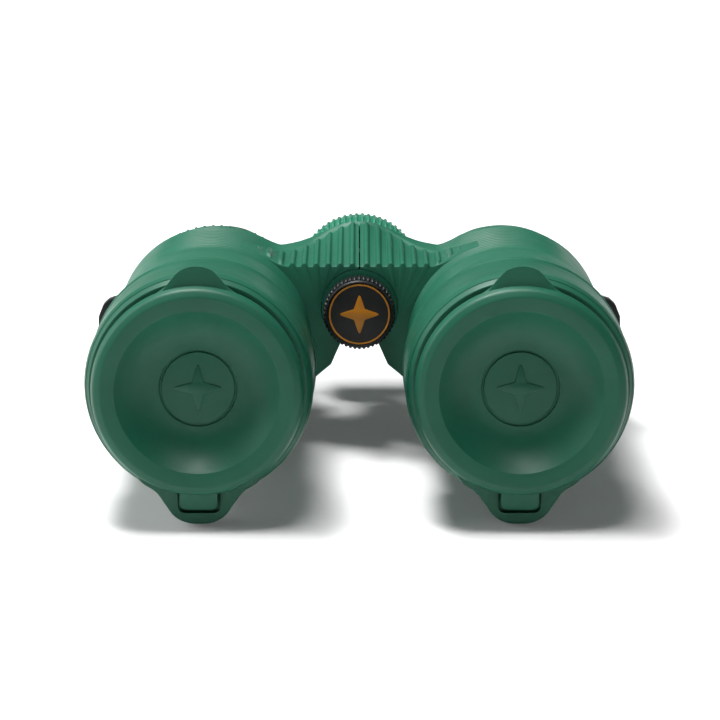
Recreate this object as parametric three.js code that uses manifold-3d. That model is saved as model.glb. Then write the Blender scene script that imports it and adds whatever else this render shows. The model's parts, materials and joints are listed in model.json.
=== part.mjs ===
// Full-size 42 mm roof-prism binoculars in green rubber armour, both tethered objective covers on.
// Millimetres. X runs across, +Y from the objectives to the eyepieces, +Z up.
// The barrel drawing is made from the front edge of the tether ring (y = 0) and the optical
// axes (z = 0); the last lines move it to its frame: middle of the length, lowest point at z = 0.
import * as THREE from 'three';
import { mergeVertices } from 'three/addons/utils/BufferGeometryUtils.js';
import Module from 'manifold-3d';

const wasm = await Module();
wasm.setup();

// Driving dimensions
const halfSpan = 37; // optical axis to the middle, fully opened
const hingeHeight = 8.4; // hinge axis over the optical axes
const axisHeight = 32; // optical axes over the lowest point, the loop of the tether ring
const frontEnd = -7.9; // crest of the objective cover
const rearEnd = 137; // rim of the eyecup, turned in
const gap = 0.3; // between pieces that touch
const ringRadius = 26.5;
const ringFront = -2.25;
const ringRear = 22;
const armourRadius = 25.05;
const armourUnderRing = 24.45;
const armourBore = 23.7;
const shellRadius = 23.4;
const shellBore = 22.4;
const shoulder = 84.3; // where the full barrel ends
const collarRadius = 21; // chassis under the diopter ring
const collarRear = 93.4;
const neckRadius = 15.6;
const coverRadius = 25;
const lensRadius = 21; // 42 mm objective
const tubeRadius = 12.6; // eyepiece tube
const tubeBore = 11.4;
const cupRadius = 17.2; // hidden behind the barrels when seen from the front
const cupFront = 107;
const bridgeFront = 56;
const bridgeRear = 84.4;
const webFront = 68.4;
const webRear = 84;
const knuckleRadius = 9.5;
const knuckleRoom = 9.8; // radius that one half leaves free for the knuckles of the other
const pinRadius = 4;
const wheelRadius = 16;
const wheelFront = 94;
const wheelRear = 110;
const knobRadius = 8.95;
const knobFront = 46;
const closedAngle = 26.8; // degrees between the lower bridge flat and straight down
const armMiddle = 63; // focusing arms, along y
const armSlot = 7.4; // arm thickness and travel
const round = 28; // sides of large turned pieces
const small = 16; // sides of small turned pieces

const looks = {
  armour: { color: 0x2f7357, roughness: 0.6, metalness: 0 },
  ring: { color: 0x2d6c52, roughness: 0.62, metalness: 0 },
  grip: { color: 0x3f8f70, roughness: 0.55, metalness: 0 },
  alloy: { color: 0x24292a, roughness: 0.5, metalness: 0.7 },
  black: { color: 0x16201c, roughness: 0.5, metalness: 0 },
  steel: { color: 0x9a9c9e, roughness: 0.35, metalness: 1 },
  brass: { color: 0xb08d4a, roughness: 0.4, metalness: 1 },
  orange: { color: 0xb8781e, roughness: 0.5, metalness: 0 },
  glass: { color: 0xb9d6c6, roughness: 0.05, metalness: 0 },
};

// A closed solid from a geometry: shared corners merged, collapsed triangles dropped.
function solid(geometry) {
  geometry.deleteAttribute('normal');
  geometry.deleteAttribute('uv');
  const merged = mergeVertices(geometry, 1e-4);
  const index = merged.index.array;
  const faces = [];
  for (let i = 0; i < index.length; i += 3) {
    const [a, b, c] = index.slice(i, i + 3);
    if (a !== b && b !== c && c !== a) faces.push(a, b, c);
  }
  const vertProperties = new Float32Array(merged.attributes.position.array);
  const triVerts = new Uint32Array(faces);
  return new wasm.Manifold(new wasm.Mesh({ numProp: 3, vertProperties, triVerts }));
}

// Turned about a line along y through (x, z), from [radius, y] points.
function turned(profile, x = 0, z = 0, sides = round) {
  const points = profile.map(([r, y]) => new THREE.Vector2(r, y));
  return solid(new THREE.LatheGeometry(points, sides).translate(x, 0, z));
}

// A ring of rectangular section.
function sleeve(outer, bore, front, rear, x = 0, z = 0, sides = round) {
  const profile = [[outer, front], [outer, rear], [bore, rear], [bore, front], [outer, front]];
  return turned(profile, x, z, sides);
}

function rod(radius, front, rear, x = 0, z = 0, sides = round) {
  const cylinder = new THREE.CylinderGeometry(radius, radius, rear - front, sides);
  return solid(cylinder.translate(x, (front + rear) / 2, z));
}

// An outline of [x, z] points drawn out along y.
function drawn(outline, front, rear) {
  const shape = new THREE.Shape(outline.map(([x, z]) => new THREE.Vector2(x, z)));
  const body = new THREE.ExtrudeGeometry(shape, { depth: rear - front, bevelEnabled: false });
  return solid(body.rotateX(Math.PI / 2).translate(0, rear, 0));
}

// An outline of [y, z] points drawn out across x.
function drawnAcross(outline, middle, width) {
  const shape = new THREE.Shape(outline.map(([y, z]) => new THREE.Vector2(y, z)));
  const body = new THREE.ExtrudeGeometry(shape, { depth: width, bevelEnabled: false });
  const stood = body.rotateX(Math.PI / 2).rotateZ(Math.PI / 2);
  return solid(stood.translate(middle - width / 2, 0, 0));
}

function mirroredOutline(half) {
  const other = half.map(([x, z]) => [-x, z]).reverse();
  return [...half, ...other.filter(([x]) => x !== 0)];
}

function shifted(outline, x, side = 1) {
  return outline.map(([px, pz]) => [x + side * px, pz]);
}

const product = new THREE.Group();

function add(name, body, look) {
  const mesh = body.getMesh();
  const geometry = new THREE.BufferGeometry();
  geometry.setAttribute('position', new THREE.BufferAttribute(mesh.vertProperties, 3));
  geometry.setIndex(new THREE.BufferAttribute(mesh.triVerts, 1));
  geometry.computeVertexNormals();
  const piece = new THREE.Mesh(geometry, new THREE.MeshStandardMaterial(look));
  piece.name = name;
  product.add(piece);
}

// Which stretches of the hinge each half's knuckles take.
const knuckles = {
  left: [[webFront, 72.6], [79.8, webRear]],
  right: [[72.9, 79.5]],
};

const webOutline = [[2.3, 16.4], [20, 15.6], [22, 0], [18, -7.5], [11.8, -6.6], [5.7, 1.4]];
const webRoom = [[1.9, 16.8], [20.4, 16], [22.4, 0], [18.2, -7.9], [11.5, -7], [5.2, 1.3]];

// The slot that the focusing arm moves in, from the hinge to the middle of the barrel.
function armRoom(side) {
  const slope = Math.atan2(hingeHeight, halfSpan);
  const reach = new THREE.BoxGeometry(22, armSlot, 6.4);
  const placed = reach.rotateY(side * slope);
  return solid(placed.translate(side * 15.5, armMiddle, hingeHeight * 0.58));
}

// Die-cast half: barrel shell, rear neck, web and hinge knuckles in one casting.
function chassis(name, side) {
  const x = side * halfSpan;
  const shell = turned([
    [shellRadius, 2],
    [shellRadius, shoulder - gap],
    [collarRadius, shoulder - gap],
    [collarRadius, 92],
    [neckRadius, 93.2],
    [neckRadius, 101],
    [tubeRadius + gap, 101],
    [tubeRadius + gap, 92.6],
    [10.6, 92.6],
    [10.6, 90.4],
    [shellBore - 2, 90.4],
    [shellBore - 2, shoulder - 2],
    [shellBore, shoulder - 4],
    [shellBore, 2],
    [shellRadius, 2],
  ], x);
  const inside = rod(shellBore, 3, shoulder - 4, x);
  const web = drawn(shifted(webOutline, 0, side), webFront, webRear);
  let half = web.subtract(rod(knuckleRoom, webFront - 1, webRear + 1, 0, hingeHeight));
  for (const [start, end] of knuckles[name]) {
    half = half.add(drawn(shifted(webOutline, 0, side), start, end));
    half = half.add(rod(knuckleRadius, start, end, 0, hingeHeight));
  }
  half = half.subtract(rod(pinRadius + gap, webFront - 1, webRear + 1, 0, hingeHeight, small));
  const rearInside = rod(shellBore - 2, shoulder - 5, 90.4, x);
  half = half.subtract(inside).subtract(rearInside).add(shell);
  return half.subtract(armRoom(side));
}

// Rubber skin of the barrel. The right one stops at the diopter ring.
function armour(name, side) {
  const x = side * halfSpan;
  const front = [[armourBore, -0.6], [armourUnderRing, -0.6], [armourUnderRing, 22.4]];
  const back = {
    left: [
      [armourRadius, 22.4],
      [armourRadius, 80],
      [24.6, 82.6],
      [23.9, 84.6],
      [23.8, 92.2],
      [22.6, collarRear],
      [collarRadius + gap, collarRear],
      [collarRadius + gap, shoulder],
      [armourBore, shoulder],
    ],
    right: [
      [armourRadius, 22.4],
      [armourRadius, 80],
      [24.7, 82.4],
      [24.1, shoulder],
      [armourBore, shoulder],
    ],
  };
  const skin = turned([...front, ...back[name], [armourBore, -0.6]], x);
  const webHole = drawn(shifted(webRoom, 0, side), webFront - gap, webRear + gap);
  return skin.subtract(webHole).subtract(armRoom(side));
}

// Rubber skin of the bridge: a hill over the hinge, cut sloping down to the front edge.
function bridgeArmour(side) {
  const slope = Math.tan(closedAngle * Math.PI / 180);
  const flatTop = [0.15 + knuckleRoom * 0.45, hingeHeight - (knuckleRoom * 0.45) / slope];
  const outline = [
    [0.15, 25.9],
    [3.2, 25.6],
    [7.2, 24.2],
    [12, 22],
    [15.7, 20.6],
    [19, 20],
    [23, 20.1],
    [30, 20.8],
    [30, -8],
    [20, -12.4],
    [14.5, -11.8],
    [11.2, -10],
    [8.9, -8.2],
    flatTop,
    [0.15, hingeHeight + 2],
  ];
  const block = drawn(shifted(outline, 0, side), bridgeFront, bridgeRear);
  const rise = Math.atan2(25.9 - 19.4, bridgeRear - bridgeFront);
  const over = new THREE.BoxGeometry(80, 60, 20).translate(0, 0, 10).rotateX(rise);
  const slopeCut = solid(over.translate(0, bridgeFront, 19.4));
  return block
    .subtract(slopeCut)
    .subtract(rod(armourRadius + gap, bridgeFront - 1, bridgeRear + 1, side * halfSpan))
    .subtract(rod(knuckleRoom, bridgeFront - 1, bridgeRear + 1, 0, hingeHeight))
    .subtract(drawn(shifted(webRoom, 0, side), webFront - gap, webRear + gap))
    .subtract(armRoom(side));
}

// Rubber ring that is stretched over the barrel, with the loop that keeps the cover's tongue.
function tetherRing(side) {
  const x = side * halfSpan;
  const band = turned([
    [24.75, ringRear],
    [24.75, -0.9],
    [23.6, -0.9],
    [23.6, ringFront],
    [25, ringFront],
    [25.9, -1],
    [ringRadius, 1],
    [ringRadius, 20.6],
    [26, ringRear],
    [24.75, ringRear],
  ], x);
  const halfLoop = [[0, -20], [13.4, -22.6], [10.2, -24.7], [8, -27.2], [6, -30], [3.3, -31.6], [0, -32]];
  const loop = drawn(shifted(mirroredOutline(halfLoop), x), ringFront, 4);
  const halfPocket = [[0, -22.5], [4.95, -22.5], [4.95, -27.8], [3.6, -29.4], [0, -29.4]];
  const pocket = drawn(shifted(mirroredOutline(halfPocket), x), ringFront - 1, -0.6);
  return band.add(loop.subtract(rod(24.75, -3, 5, x))).subtract(pocket);
}

// Rubber objective cover: dished front, pull tab on top, tongue in the loop below, plug behind.
function cover(side) {
  const x = side * halfSpan;
  const disc = turned([
    [0, -2.8],
    [9, -2.8],
    [14, -4.5],
    [19, -6.2],
    [21.4, -7.5],
    [22.8, frontEnd],
    [24.3, -7.2],
    [coverRadius, -5.6],
    [coverRadius, ringFront - gap],
    [20, ringFront - gap],
    [20, 1.2],
    [18.6, 1.2],
    [18.2, -3.4],
    [9, -0.9],
    [0, -0.9],
  ], x);
  const halfTab = [[0, 22.8], [8.4, 23.4], [6, 26.4], [4.2, 28.2], [1.5, 29.1], [0, 29.2]];
  const tab = drawn(shifted(mirroredOutline(halfTab), x), -5.6, ringFront - gap);
  const halfTongue = [[0, -23], [4.35, -23], [4.35, -27.4], [3.2, -28.7], [0, -28.7]];
  const tongue = drawn(shifted(mirroredOutline(halfTongue), x), -4.4, -1.1);
  const behindTongue = drawn(shifted([[-6, -20], [6, -20], [6, -24.2], [-6, -24.2]], x), ringFront - gap, 0);
  return disc.add(tab).add(tongue.subtract(behindTongue));
}

function objective(name, side) {
  const x = side * halfSpan;
  add(`objective_bezel_${name}`, sleeve(shellRadius, 20.7, -0.4, 1.7, x), looks.black);
  add(`objective_cell_${name}`, turned([
    [shellBore - gap, 2.3],
    [shellBore - gap, 15],
    [20.2, 15],
    [20.2, 14],
    [lensRadius + gap, 14],
    [lensRadius + gap, 2.3],
    [shellBore - gap, 2.3],
  ], x), looks.alloy);
  add(`objective_lock_ring_${name}`, sleeve(lensRadius, 20.2, 4.4, 6.5, x), looks.black);
  add(`objective_crown_lens_${name}`, turned([
    [0, 4.8],
    [10.5, 5.3],
    [lensRadius, 7],
    [lensRadius, 8.3],
    [10.5, 9.9],
    [0, 10.4],
  ], x), looks.glass);
  add(`objective_flint_lens_${name}`, turned([
    [0, 10.8],
    [10.5, 10.3],
    [lensRadius, 8.7],
    [lensRadius, 13.6],
    [0, 13.6],
  ], x), looks.glass);
}

// Focusing lens cell with the arm that the carriage on the hinge moves.
function focusing(name, side) {
  const x = side * halfSpan;
  const slope = Math.atan2(hingeHeight, halfSpan);
  const [inner, outer] = [4.4, 25.4];
  const middle = (inner + outer) / 2;
  const bar = new THREE.BoxGeometry(outer - inner, 1.6, 4.4).rotateY(side * slope);
  const placed = bar.translate(
    side * middle * Math.cos(slope),
    armMiddle,
    hingeHeight - middle * Math.sin(slope),
  );
  const arm = solid(placed).subtract(rod(5.5, 60, 66, 0, hingeHeight, small));
  const cell = sleeve(13.4, 11.9, 57, 64.5, x);
  const arms = arm.subtract(rod(12.6, 56, 66, x)).add(cell);
  add(`focusing_cell_${name}`, arms, looks.alloy);
  add(`focusing_lens_${name}`, turned([
    [0, 60.2],
    [11.5, 58.8],
    [11.5, 62.4],
    [0, 61.2],
  ], x, 0, small), looks.glass);
}

function prisms(name, side) {
  const x = side * halfSpan;
  const channel = [
    [-11.5, 9],
    [-9.5, 9],
    [-9.5, -10.6],
    [9.5, -10.6],
    [9.5, 9],
    [11.5, 9],
    [11.5, -12.4],
    [-11.5, -12.4],
  ];
  const plate = sleeve(19.9, 8.6, 69, 70.4, x, 0, small);
  const cage = drawn(shifted(channel, x), 70.2, 89.4).add(plate);
  add(`prism_cage_${name}`, cage, looks.alloy);
  const halfPenta = [[71, -10], [71, 9], [74.5, 12.5], [81, -3.2], [76.5, -10]];
  add(`prism_half_penta_${name}`, drawnAcross(halfPenta, x, 18), looks.glass);
  const roof = [[75.4, 12.8], [84.4, -9], [88.5, -9], [88.5, 10], [85.5, 12.8]];
  add(`prism_roof_${name}`, drawnAcross(roof, x, 18), looks.glass);
  const spring = [
    [-12.3, 5],
    [-12.3, 13.9],
    [12.3, 13.9],
    [12.3, 5],
    [11.8, 5],
    [11.8, 13.2],
    [-11.8, 13.2],
    [-11.8, 5],
  ];
  add(`prism_clamp_${name}`, drawn(shifted(spring, x), 78, 83), looks.steel);
}

// The right field lens sits in a cell of its own that the diopter ring moves.
function eyepiece(name, side) {
  const x = side * halfSpan;
  add(`eyepiece_housing_${name}`, sleeve(19, neckRadius + gap, 93.9, 106.6, x), looks.armour);
  add(`eyepiece_tube_${name}`, turned([
    [tubeRadius, 93],
    [tubeRadius, 131],
    [9.6, 131],
    [9.6, 129.8],
    [tubeBore, 129.8],
    [tubeBore, 93],
    [tubeRadius, 93],
  ], x), looks.black);
  const fieldRadius = name === 'left' ? 11 : 9.3;
  add(`field_lens_${name}`, turned([
    [0, 100],
    [fieldRadius, 101.6],
    [fieldRadius, 103.6],
    [0, 105.4],
  ], x, 0, small), looks.glass);
  add(`eye_lens_${name}`, turned([
    [0, 122.8],
    [11, 124.6],
    [11, 127.4],
    [0, 129.4],
  ], x, 0, small), looks.glass);
  add(`eyecup_cam_${name}`, sleeve(14.3, 12.9, 108, 121, x), looks.steel);
  add(`eyecup_shell_${name}`, turned([
    [15.9, cupFront],
    [15.9, 134],
    [13, 134],
    [13, 131.4],
    [14.7, 131.4],
    [14.7, cupFront],
    [15.9, cupFront],
  ], x), looks.black);
  add(`eyecup_rubber_${name}`, turned([
    [cupRadius, cupFront],
    [cupRadius, 134],
    [16.7, 136.2],
    [15.6, rearEnd],
    [13.9, rearEnd],
    [12.9, 135.6],
    [12.4, 134.3],
    [16.1, 134.3],
    [16.1, cupFront],
    [cupRadius, cupFront],
  ], x), looks.black);
}

function strapLug(side) {
  const outline = [
    [61, 8.5],
    [63.8, 7.6],
    [65.2, 6.4],
    [66.4, 3.4],
    [66.4, -3.4],
    [65.2, -6.4],
    [63.8, -7.6],
    [61, -8.5],
    [61.5, -6.8],
    [63.2, -6.2],
    [64.6, -3.4],
    [64.6, 3.4],
    [63.2, 6.2],
    [61.5, 6.8],
  ];
  return drawn(shifted(outline, 0, side), 70, 75);
}

for (const [name, side] of [['left', 1], ['right', -1]]) {
  add(`chassis_${name}`, chassis(name, side), looks.alloy);
  add(`armour_${name}`, armour(name, side), looks.armour);
  add(`bridge_armour_${name}`, bridgeArmour(side), looks.armour);
  add(`tether_ring_${name}`, tetherRing(side), looks.ring);
  add(`objective_cover_${name}`, cover(side), looks.ring);
  objective(name, side);
  focusing(name, side);
  prisms(name, side);
  eyepiece(name, side);
  add(`strap_lug_${name}`, strapLug(side), looks.black);
}

// Diopter adjustment on the right barrel.
add('diopter_ring', sleeve(23.9, collarRadius + gap, 85, 92.6, -halfSpan), looks.armour);
add('diopter_cell', sleeve(11, 9.7, 99.6, 105.8, -halfSpan, 0, small), looks.alloy);

// Hinge: hollow axle with the tripod socket in its front end.
add('hinge_axle', turned([
  [6.4, 49],
  [6.4, 56.2],
  [9.4, 56.2],
  [9.4, 57.6],
  [pinRadius, 57.6],
  [pinRadius, 92.6],
  [2.7, 92.6],
  [2.7, 57],
  [4.9, 56.4],
  [4.9, 49],
  [6.4, 49],
], 0, hingeHeight, small), looks.steel);
add('hinge_rear_collar', sleeve(9.2, 4.35, bridgeRear + gap, 92.6, 0, hingeHeight, small), looks.black);
add('tripod_insert', sleeve(4.5, 3.2, 49.2, 56, 0, hingeHeight, small), looks.brass);
add('socket_cover_seal', sleeve(8.5, 6.8, 52.6, 53.5, 0, hingeHeight, small), looks.black);
add('socket_cover', turned([
  [0, 47],
  [7.9, 47],
  [7.9, knobFront],
  [8.3, knobFront],
  [knobRadius, 47.4],
  [knobRadius, 52.2],
  [6.9, 52.2],
  [6.9, 48.6],
  [0, 48.6],
], 0, hingeHeight, round), looks.black);
add('socket_cover_badge', rod(7.6, 46.1, 46.7, 0, hingeHeight, small), looks.orange);

// Focusing: wheel and its long screw in the axle, carriage on the axle in front of the knuckles.
add('focus_wheel_core', turned([
  [0, 93],
  [5.5, 93],
  [5.5, wheelFront + 0.4],
  [13.4, wheelFront + 0.4],
  [13.4, wheelRear - 0.4],
  [9, wheelRear - 0.4],
  [7, wheelRear - 1.2],
  [0, wheelRear - 1.2],
], 0, hingeHeight, small).add(rod(2.3, 66, 94, 0, hingeHeight, small)), looks.black);
add('focus_wheel_grip', turned([
  [13.75, wheelFront],
  [15.4, wheelFront],
  [wheelRadius, wheelFront + 0.8],
  [wheelRadius, wheelRear - 0.8],
  [15.4, wheelRear],
  [13.75, wheelRear],
  [13.75, wheelFront],
], 0, hingeHeight), looks.grip);
add('focus_carriage', turned([
  [6.8, 60.4],
  [6.8, 61.8],
  [5.1, 61.8],
  [5.1, 64.2],
  [6.8, 64.2],
  [6.8, 65.6],
  [4.35, 65.6],
  [4.35, 60.4],
  [6.8, 60.4],
], 0, hingeHeight, small), looks.brass);

// Frame: middle of the length over y = 0, lowest point on z = 0.
const frame = new THREE.Group();
product.position.set(0, -(frontEnd + rearEnd) / 2, axisHeight);
frame.add(product);

export default frame;
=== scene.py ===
import json
import math
import bmesh
import bpy
from mathutils import Matrix, Vector

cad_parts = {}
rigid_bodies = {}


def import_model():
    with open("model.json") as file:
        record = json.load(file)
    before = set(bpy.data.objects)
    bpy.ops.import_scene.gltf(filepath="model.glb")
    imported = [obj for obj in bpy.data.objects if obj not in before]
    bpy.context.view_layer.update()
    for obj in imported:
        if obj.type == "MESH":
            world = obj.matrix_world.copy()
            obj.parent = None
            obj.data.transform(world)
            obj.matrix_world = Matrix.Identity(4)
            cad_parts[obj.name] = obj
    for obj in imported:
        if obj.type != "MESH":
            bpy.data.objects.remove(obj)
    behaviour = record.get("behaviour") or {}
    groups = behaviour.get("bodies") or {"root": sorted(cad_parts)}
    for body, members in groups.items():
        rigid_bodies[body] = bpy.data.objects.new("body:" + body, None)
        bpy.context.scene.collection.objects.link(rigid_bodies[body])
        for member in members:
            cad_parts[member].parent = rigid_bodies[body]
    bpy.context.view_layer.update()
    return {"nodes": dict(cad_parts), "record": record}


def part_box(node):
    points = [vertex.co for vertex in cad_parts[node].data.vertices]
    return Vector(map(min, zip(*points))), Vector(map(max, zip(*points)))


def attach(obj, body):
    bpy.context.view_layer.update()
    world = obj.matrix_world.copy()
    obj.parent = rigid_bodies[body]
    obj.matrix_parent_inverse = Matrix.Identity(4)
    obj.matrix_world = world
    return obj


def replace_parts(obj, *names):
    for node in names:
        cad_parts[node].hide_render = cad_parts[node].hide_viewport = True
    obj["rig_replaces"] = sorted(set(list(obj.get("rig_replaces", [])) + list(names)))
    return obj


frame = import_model()
print("frame loaded:", len(frame["nodes"]), "nodes")

# All drawing is in millimetres: y from a plane behind the tether ring's face, which stands at
# ringFront, z from the height of the optical axes, and x from the middle or from a shape's place.
mm = 0.001
weldDistance = 1e-7
ringFront = -2.25
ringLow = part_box("tether_ring_left")[0]
armourLow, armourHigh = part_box("armour_left")
wheelLow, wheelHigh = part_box("focus_wheel_grip")
frontEdge = ringLow.y / mm - ringFront
axisHeight = (armourLow.z + armourHigh.z) / 2 / mm
halfSpan = (armourLow.x + armourHigh.x) / 2 / mm
hingeHeight = (wheelLow.z + wheelHigh.z) / 2 / mm - axisHeight
sides = {"left": 1, "right": -1}


def grow(tree, kind, links=None, **settings):
    # adds one node: settings are its own properties, links are socket values or other sockets
    node = tree.nodes.new(kind)
    for name, value in settings.items():
        setattr(node, name, value)
    for socket, source in (links or {}).items():
        if isinstance(source, bpy.types.NodeSocket):
            tree.links.new(source, node.inputs[socket])
        else:
            node.inputs[socket].default_value = source
    return node


def linear(code):
    def one(value):
        return value / 12.92 if value <= 0.04045 else ((value + 0.055) / 1.055) ** 2.4
    return [one(int(code[i:i + 2], 16) / 255) for i in (1, 3, 5)] + [1]


def dimmed(code, part):
    return [value * part for value in linear(code)[:3]] + [1]


def startMaterial(name, roughness, metallic=0.0, ior=1.5):
    material = bpy.data.materials.new(name)
    material.use_nodes = True
    tree = material.node_tree
    shader = tree.nodes["Principled BSDF"]
    shader.inputs["Roughness"].default_value = roughness
    shader.inputs["Metallic"].default_value = metallic
    shader.inputs["IOR"].default_value = ior
    place = grow(tree, "ShaderNodeTexCoord").outputs["Object"]
    return material, tree, shader, place


def colourRamp(tree, shader, factor, low, high):
    # blends two colours by a factor, into the base colour
    ramp = grow(tree, "ShaderNodeValToRGB", {"Fac": factor})
    ramp.color_ramp.elements[0].color = low
    ramp.color_ramp.elements[1].color = high
    tree.links.new(ramp.outputs["Color"], shader.inputs["Base Color"])
    return ramp.color_ramp


def mouldedRubber(name, dark, light, grain, roughness, bumpDepth):
    # rubber or plastic moulded in a spark-eroded tool: an even satin with a fine grain, slight
    # cloudiness in colour, and rubbed patches a little glossier than the rest
    material, tree, shader, place = startMaterial(name, roughness, ior=moulding["ior"])
    shader.inputs["Specular IOR Level"].default_value = moulding["specular"]
    low, high = moulding["noiseRange"]
    cloud = grow(tree, "ShaderNodeTexNoise", {
        "Vector": place, "Scale": moulding["cloudScale"], "Detail": 3.0,
    })
    ramp = colourRamp(tree, shader, cloud.outputs["Fac"], linear(dark), linear(light))
    ramp.elements[0].position = low
    ramp.elements[1].position = high
    rubbed = grow(tree, "ShaderNodeTexNoise", {
        "Vector": place, "Scale": moulding["rubbedScale"], "Detail": 4.0,
    })
    gloss = grow(tree, "ShaderNodeMapRange", {
        "Value": rubbed.outputs["Fac"], "From Min": low, "From Max": high,
        "To Min": roughness - moulding["glossier"], "To Max": roughness + moulding["duller"],
    })
    tree.links.new(gloss.outputs["Result"], shader.inputs["Roughness"])
    spark = grow(tree, "ShaderNodeTexNoise", {
        "Vector": place, "Scale": 1 / (grain * mm), "Detail": 2.0,
    })
    bump = grow(tree, "ShaderNodeBump", {
        "Height": spark.outputs["Fac"], "Strength": moulding["bump"], "Distance": bumpDepth * mm,
    })
    tree.links.new(bump.outputs["Normal"], shader.inputs["Normal"])
    return material


def turnedMetal(name, colour, roughness, pitch):
    # lathe-turned metal: fine rings across the axis, so the roughness changes in narrow bands
    material, tree, shader, place = startMaterial(name, roughness, metallic=1.0)
    bandTurn, bandSpread, stainScale, stained = 6.28, 0.08, 200.0, 0.86
    bands = grow(tree, "ShaderNodeTexWave", {
        "Vector": place, "Scale": 1 / (pitch * mm * bandTurn), "Distortion": 0.6, "Detail": 2.0,
    }, bands_direction="Y")
    cut = grow(tree, "ShaderNodeMapRange", {
        "Value": bands.outputs["Fac"],
        "To Min": roughness - bandSpread, "To Max": roughness + bandSpread,
    })
    tree.links.new(cut.outputs["Result"], shader.inputs["Roughness"])
    stain = grow(tree, "ShaderNodeTexNoise", {"Vector": place, "Scale": stainScale, "Detail": 4.0})
    colourRamp(tree, shader, stain.outputs["Fac"], dimmed(colour, stained), linear(colour))
    return material


def paintedCasting(name, dark, light, roughness):
    # magnesium die casting under black wrinkle paint: pebbles under a millimetre across
    material, tree, shader, place = startMaterial(name, roughness)
    pebble, paintDepth = 0.7 * mm, 0.08 * mm
    pebbles = grow(tree, "ShaderNodeTexVoronoi", {"Vector": place, "Scale": 1 / pebble})
    colourRamp(tree, shader, pebbles.outputs["Distance"], linear(dark), linear(light))
    bump = grow(tree, "ShaderNodeBump", {
        "Height": pebbles.outputs["Distance"], "Strength": 0.5, "Distance": paintDepth,
    })
    tree.links.new(bump.outputs["Normal"], shader.inputs["Normal"])
    return material


def opticalGlass(name, colour, roughness, coat):
    # polished glass with a green anti-reflection coating, seen into a dark barrel
    crownIor, breathScale, hazeMost, palest, coatRoughness = 1.52, 90.0, 0.05, 1.15, 0.02
    material, tree, shader, place = startMaterial(name, roughness, ior=crownIor)
    breath = grow(tree, "ShaderNodeTexNoise", {"Vector": place, "Scale": breathScale, "Detail": 3.0})
    haze = grow(tree, "ShaderNodeMapRange", {
        "Value": breath.outputs["Fac"], "To Min": roughness, "To Max": roughness + hazeMost,
    })
    tree.links.new(haze.outputs["Result"], shader.inputs["Roughness"])
    colourRamp(tree, shader, breath.outputs["Fac"], linear(colour), dimmed(colour, palest))
    shader.inputs["Coat Weight"].default_value = 1.0
    shader.inputs["Coat Roughness"].default_value = coatRoughness
    shader.inputs["Coat Tint"].default_value = linear(coat)
    return material


moulding = {
    "ior": 1.45, "specular": 0.36, "cloudScale": 60.0, "rubbedScale": 130.0, "noiseRange": (0.3, 0.7),
    "glossier": 0.05, "duller": 0.06, "bump": 0.35,
}
# each call: name, dark and light colour, grain in millimetres, roughness, depth of the grain
greenArmour = mouldedRubber("green moulded rubber armour", "#155440", "#1a5c46", 0.28, 0.5, 0.03)
greenRing = mouldedRubber(
    "green moulded rubber of rings and covers", "#13503c", "#175742", 0.28, 0.48, 0.025)
greenGrip = mouldedRubber("light green moulded rubber grip", "#186a51", "#1d7258", 0.25, 0.5, 0.02)
blackRubber = mouldedRubber("black moulded rubber", "#0b0d0e", "#131618", 0.25, 0.5, 0.02)
blackAbs = mouldedRubber("black moulded ABS", "#0d1012", "#15191b", 0.4, 0.42, 0.015)
badgeGrain = mouldedRubber("black leather-grain ABS", "#08090a", "#1b1c1d", 0.42, 0.45, 0.25)
orangeInk = mouldedRubber("orange pad-printed ink", "#b06c10", "#c98322", 0.3, 0.45, 0.01)
blackCasting = paintedCasting("black painted die casting", "#0c0e0e", "#1a1d1d", 0.55)
turnedSteel = turnedMetal("turned steel", "#a7a9ab", 0.34, 0.3)
turnedBrass = turnedMetal("turned brass", "#b8955a", 0.36, 0.3)
coatedGlass = opticalGlass("coated optical glass", "#0c1a16", 0.03, "#9fe0bd")
print("materials made")

slotMaterials = {
    "green_armour": greenArmour,
    "green_ring": greenRing,
    "green_grip": greenGrip,
    "black_alloy": blackCasting,
    "black_plastic": blackAbs,
    "black_rubber": blackRubber,
    "steel": turnedSteel,
    "brass": turnedBrass,
    "orange_badge": orangeInk,
    "coated_glass": coatedGlass,
}
slotOf = {part["node"]: part["material_slot"] for part in frame["record"]["subparts"]}


def softened(points, radius, steps=4, closed=True):
    # rounds every corner of a 2D outline; points are (a, b) or (a, b, own radius)
    straight, mostCut = math.pi - 0.02, 0.45
    out = []
    count = len(points)
    for i, point in enumerate(points):
        here = Vector(point[:2])
        own = point[2] if len(point) > 2 else radius
        if own == 0 or (not closed and i in (0, count - 1)):
            out.append(tuple(here))
            continue
        before = Vector(points[i - 1][:2]) - here
        after = Vector(points[(i + 1) % count][:2]) - here
        angle = before.angle(after)
        if angle > straight:
            out.append(tuple(here))
            continue
        cut = min(own / math.tan(angle / 2), before.length * mostCut, after.length * mostCut)
        start = here + before.normalized() * cut
        end = here + after.normalized() * cut
        for k in range(steps + 1):
            t = k / steps
            out.append(tuple(start * (1 - t) ** 2 + here * 2 * t * (1 - t) + end * t * t))
    return out


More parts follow.
